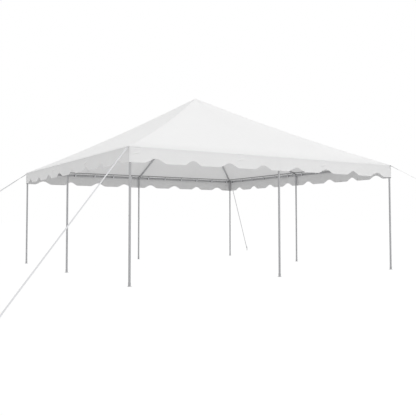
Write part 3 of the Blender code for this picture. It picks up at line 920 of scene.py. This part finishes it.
def make_guy(quarter):
    """Guy of one corner, made at the front left: it leaves the left side just beside the corner."""
    anchor = joined(-CANOPY_HALF, -CANOPY_HALF + ANCHOR_ALONG, STRAP_TOP_Z)
    stake_at = -HALF_SPAN - STAKES_OUT[quarter]
    stake_mid = joined(stake_at, stake_at, STRAP_FOOT_Z)
    flat = (stake_mid - anchor) * (1.0, 1.0, 0.0)
    ahead = unit(flat)
    across = np.cross(UP, ahead)
    tilt = math.atan2(STRAP_TOP_Z - STRAP_FOOT_Z, np.linalg.norm(flat) - STAKE_R)
    way = ahead * math.cos(tilt) - UP * math.sin(tilt)
    up = ahead * math.sin(tilt) + UP * math.cos(tilt)
    ring_at = anchor + way * RING_AWAY
    eye_r = RING_BAR + EYE_CLEAR

    # strap: round the ring's lower bar, down to the stake, round it and back
    eye = ring_at + way * (RING_R - EYE_INSET)
    bend = eye + eye_r * on_circle(np.linspace(QUARTER_TURN, 3 * QUARTER_TURN, 9), way, up)
    straight = np.linalg.norm(stake_mid - eye) - STRAP_STOP
    distances = np.append(np.linspace(*STRAP_NEAR), np.linspace(STRAP_FAR, straight, STRAP_FAR_POINTS))
    path = np.vstack([bend[-1] + np.outer(STRAP_TAIL, way), bend[::-1], bend[0] + np.outer(distances, way)])
    away = np.maximum(np.dot(path - eye, way), 0.0)
    twist = math.radians(TWISTS[quarter]) * smooth_step(away, *TWIST_TOP)
    twist = twist * smooth_step(straight - away, *TWIST_FOOT)
    facing = across * np.cos(twist)[:, None] + up * np.sin(twist)[:, None]
    strap = Build(quarter)
    strap.strap(path, facing, STRAP_WIDTH, STRAP_THIN)

    # the lower loop lies flat on the strap's end and passes round the stake's shaft
    angles = np.linspace(-LOOP_OPEN, LOOP_OPEN, 15)
    around = stake_mid + (STAKE_R + LOOP_CLEAR) * on_circle(angles, ahead, across)
    start = path[-1] + up * LOOP_ABOVE
    loop_path = np.vstack([start - across * LOOP_SPREAD, around, start + across * LOOP_SPREAD])
    loop = Build(quarter)
    loop.strap(loop_path, up, LOOP_WIDTH, LOOP_THIN)

    ring = Build(quarter)
    ring.tube(ring_at + RING_R * on_circle(round_turn(28), way, across), RING_BAR, 10, True)

    # tab that lies under the roof sheet, comes out beside the corner and passes round the ring's upper bar
    tab_eye = ring_at - way * (RING_R - EYE_INSET)
    bend = tab_eye + eye_r * on_circle(np.linspace(-QUARTER_TURN, QUARTER_TURN, 9), way, -up)
    under = anchor - ahead * TAB_UNDER + UP * (EAVE_Z - STRAP_TOP_Z - TAB_DROP)
    tab_path = np.vstack([under + up * TAB_SPREAD, bend[0] - way * TAB_STRAIGHT, bend,
                          bend[-1] - way * TAB_STRAIGHT, under - up * TAB_SPREAD])
    tab = Build(quarter)
    tab.strap(tab_path, across, STRAP_WIDTH, STRAP_THIN)

    name = CORNERS[quarter]
    guy = strap.piece("guy_webbing_" + name, "webbing", webbing_white)
    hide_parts("guy_strap_" + name)
    loop.piece("guy_loop_" + name, "webbing", webbing_white)
    ring.piece("corner_ring_" + name, "fitting_steel", ring_finish, 60.0)
    tab.piece("corner_tab_" + name, "webbing", webbing_white)


for quarter in range(4):
    make_guy(quarter)


# Frame details: welds, clamp screws, snap buttons and splices

WELD_OUT = 0.0265  # from a fitting's middle to the weld round each socket
CROWN_WELD_OUT = CROWN_HUB_R + 0.010
WELD_R, CROWN_WELD_R = 0.0021, 0.0022
WELD_LIFT = 0.0002
RIPPLE = 0.16  # of a bead's radius
SCREW_FROM_END, CROWN_SCREW_FROM_END = 0.034, 0.028
SCREW_HEAD_R = 0.0062
SCREW_ROLL = 0.4
NUT_SINK = 0.0008  # into the socket that the nut is welded on
CENTRE_R = 0.0005  # small flat at a turned shape's axis
NUT_PROFILE = ((CENTRE_R, 0.0), (SCREW_HEAD_R * 1.25, 0.0), (SCREW_HEAD_R * 1.25, 0.0070),
               (SCREW_HEAD_R * 1.12, 0.0078), (CENTRE_R, 0.0078))
SHANK_PROFILE = ((CENTRE_R, 0.0070), (0.0038, 0.0070), (0.0038, 0.0105), (CENTRE_R, 0.0105))
HEAD_PROFILE = ((CENTRE_R, 0.0104), (SCREW_HEAD_R, 0.0104), (SCREW_HEAD_R, 0.0146),
                (SCREW_HEAD_R * 0.86, 0.0152), (CENTRE_R, 0.0152))
BUTTON_PROFILE = ((CENTRE_R, 0.0), (0.0052, 0.0), (0.0052, 0.0035), (0.0040, 0.0062), (0.0018, 0.0074),
                  (CENTRE_R, 0.0077))
BUTTON_PLACE = UP * 1.120 - ALONG * (TUBE_R - 0.001)
# rings round a leg, each by its radius, its bar's radius and its height: splice lines, collar lip, foot weld
SPLICES = ((TUBE_R + 0.0002, 0.0009, 1.060), (TUBE_R + 0.0002, 0.0009, 1.190),
           (COLLAR_R - 0.0006, 0.0011, COLLAR_HEIGHT - 0.0002))
FOOT_WELD = (COLLAR_R + 0.0006, 0.0021, PLATE_THICKNESS + 0.0006)


def fitting_arms(is_corner):
    """Socket directions of the front left corner or front middle fitting, with reach and radius."""
    stretch = math.sqrt(2) if is_corner else 1.0
    aimed = HALF_SPAN - SOCKET_AIM / stretch
    rise = axis_height(aimed) - EAVE_AXIS_Z
    angle = QUARTER_TURN / 2 if is_corner else QUARTER_TURN
    flat = (HALF_SPAN - aimed) * stretch
    up_roof = unit(joined(flat * math.cos(angle), flat * math.sin(angle), rise))
    return [(-UP, LEG_SLEEVE_LENGTH, LEG_SLEEVE_R), (up_roof, SLEEVE_LENGTH, SLEEVE_R),
            (ALONG, SLEEVE_LENGTH, SLEEVE_R), (INWARD if is_corner else -ALONG, SLEEVE_LENGTH, SLEEVE_R)]


def add_bead(build, centre, way, at, radius, bead):
    """Weld bead round a socket, rippled as a hand weld is."""
    way = Vector(way)
    side = way.orthogonal().normalized()
    angles = round_turn(48)
    path = centre + np.array(way) * at + radius * on_circle(angles, side, way.cross(side))
    build.tube(path, bead * (1.0 + RIPPLE * np.sin(angles * 16)), 6, True)


def add_clamp_screw(build, centre, way, at, side, radius):
    """Nut welded on a socket, with a hexagon screw in it that clamps the tube."""
    side = unit(side - way * np.dot(side, way))
    spot = centre + way * at + side * (radius - NUT_SINK)
    build.turned_solid(spot, side, NUT_PROFILE, 6)
    build.turned_solid(spot, side, SHANK_PROFILE, 14)
    build.turned_solid(spot, side, HEAD_PROFILE, 6, SCREW_ROLL)


def add_ring(build, foot, radius, bar, height):
    """Thin round bar about a leg."""
    build.tube(foot + UP * height + radius * on_circle(round_turn(24), ALONG, INWARD), bar, 6, True)


def make_frame_details():
    welds, bolts, pins, splices = details = Build(), Build(), Build(), Build()
    for quarter in range(4):
        for build in details:
            build.quarter = quarter
        for is_corner in (True, False):
            centre = joined(-HALF_SPAN if is_corner else 0.0, -HALF_SPAN, EAVE_AXIS_Z)
            across = joined(0.70, 0.70, -0.60) if is_corner else joined(0.0, 0.75, -0.65)
            on_leg = ALONG + INWARD if is_corner else INWARD
            for (way, reach, radius), side in zip(fitting_arms(is_corner), (on_leg, -UP, across, across)):
                add_bead(welds, centre, way, WELD_OUT, radius + WELD_LIFT, WELD_R)
                add_clamp_screw(bolts, centre, way, reach - SCREW_FROM_END, side, radius)
            foot = centre * (1, 1, 0)
            for form in SPLICES:
                add_ring(splices, foot, *form)
            add_ring(welds, foot, *FOOT_WELD)
            pins.turned_solid(foot + BUTTON_PLACE, -ALONG, BUTTON_PROFILE, 14)
    crown = UP * CROWN_Z
    for build in details:
        build.quarter = 0
    for eighth in range(8):
        aimed = CROWN_AIM / math.sqrt(2) if eighth % 2 == 1 else CROWN_AIM
        angle = eighth * QUARTER_TURN / 2
        drop = axis_height(aimed) - CROWN_Z
        way = unit(joined(CROWN_AIM * math.cos(angle), CROWN_AIM * math.sin(angle), drop))
        add_bead(welds, crown, way, CROWN_WELD_OUT, SLEEVE_R + WELD_LIFT, CROWN_WELD_R)
        add_clamp_screw(bolts, crown, way, CROWN_SLEEVE_LENGTH - CROWN_SCREW_FROM_END, -UP, SLEEVE_R)
    welds.piece("weld_beads", "fitting_steel", weld_finish, 70.0)
    bolts.piece("socket_bolts", "fitting_steel", bolt_finish, 30.0)
    pins.piece("snap_buttons", "fitting_steel", bolt_finish, 40.0)
    splices.piece("tube_splices", "tube_steel", tube_finish, 60.0)


make_frame_details()


# Plain studio: white all round the camera's view, while the light is soft and weaker from below,
# with one broad key light from the front

LIGHT_LEVELS = ((0.0, 0.86), (0.32, 0.46), (0.47, 0.40), (0.53, 0.90))  # from straight below upward
FLOOR_REACH = 400.0
FLOOR_DROP = 0.001
FLOOR_GLOW = 0.99
KEY_ENERGY = 0.67
KEY_ELEVATION = math.radians(30)
KEY_SPREAD = math.radians(30)


def make_world():
    world = bpy.data.worlds.new("studio")
    bpy.context.scene.world = world
    world.use_nodes = True
    net = Nodes(world.node_tree, "Generated")
    light = net.tree.nodes["Background"]
    height = net.add("ShaderNodeSeparateXYZ", Vector=net.where).outputs["Z"]
    level = net.maths("MULTIPLY_ADD", height, 0.5, 0.5)
    net.feed(light, {"Color": net.ramp(level, *LIGHT_LEVELS)})
    backdrop = net.add("ShaderNodeBackground", Color=(1.0, 1.0, 1.0, 1.0))
    seen = net.add("ShaderNodeLightPath").outputs["Is Camera Ray"]
    both = net.add("ShaderNodeMixShader", i0=seen, i1=light.outputs[0], i2=backdrop.outputs[0])
    net.feed(net.tree.nodes["World Output"], {"Surface": both.outputs[0]})


def make_floor():
    pale = Material("studio_floor")
    pale.set(Base_Color=(0.02, 0.02, 0.02, 1.0), Roughness=1.0, Specular_IOR_Level=0.0,
             Emission_Color=(1.0, 1.0, 1.0, 1.0), Emission_Strength=FLOOR_GLOW)
    mesh = bpy.data.meshes.new("studio_floor")
    corners = all_round([(-FLOOR_REACH, -FLOOR_REACH, 0.0)])
    mesh.from_pydata(corners.tolist(), [], [(0, 1, 2, 3)])
    mesh.materials.append(pale.material)
    floor = new_object("studio_floor", mesh)
    floor.location.z = -FLOOR_DROP
    for ray in ("diffuse", "glossy", "transmission", "shadow"):
        setattr(floor, "visible_" + ray, False)


def make_key_light():
    key = bpy.data.lights.new("key", "SUN")
    key.energy = KEY_ENERGY
    key.angle = KEY_SPREAD
    toward = Vector((0.0, -math.cos(KEY_ELEVATION), math.sin(KEY_ELEVATION)))
    new_object("key", key).rotation_euler = toward.to_track_quat("Z", "Y").to_euler()


# Camera, fitted to the photo. The focal length and the picture's centre are in the photo's pixels.
CAMERA_PLACE = (-6.919, -11.543, 1.027)
CAMERA_YAW, CAMERA_PITCH, CAMERA_ROLL = math.radians(32.10), math.radians(2.67), math.radians(-0.07)
FOCAL_PIXELS = 580.5
CENTRE_X, CENTRE_Y = 207.25, 194.6
PHOTO_PIXELS = 416.0
SENSOR_MM = 36.0
VIEW_REACH = 2000.0  # past the far corner of the floor


def make_camera():
    turns = (-CAMERA_YAW, "Z"), (QUARTER_TURN + CAMERA_PITCH, "X"), (CAMERA_ROLL, "Z")
    yaw, pitch, roll = [Matrix.Rotation(angle, 4, axis) for angle, axis in turns]
    data = bpy.data.cameras.new("camera")
    data.sensor_width = SENSOR_MM
    data.lens = FOCAL_PIXELS / PHOTO_PIXELS * SENSOR_MM
    data.shift_x = (PHOTO_PIXELS / 2 - CENTRE_X) / PHOTO_PIXELS
    data.shift_y = (CENTRE_Y - PHOTO_PIXELS / 2) / PHOTO_PIXELS
    data.clip_end = VIEW_REACH
    camera = new_object("camera", data)
    camera.matrix_world = Matrix.Translation(CAMERA_PLACE) @ yaw @ pitch @ roll
    bpy.context.scene.camera = camera


bpy.context.scene.view_settings.view_transform = "Standard"
bpy.context.scene.view_settings.look = "None"
make_world()
make_floor()
make_key_light()
make_camera()
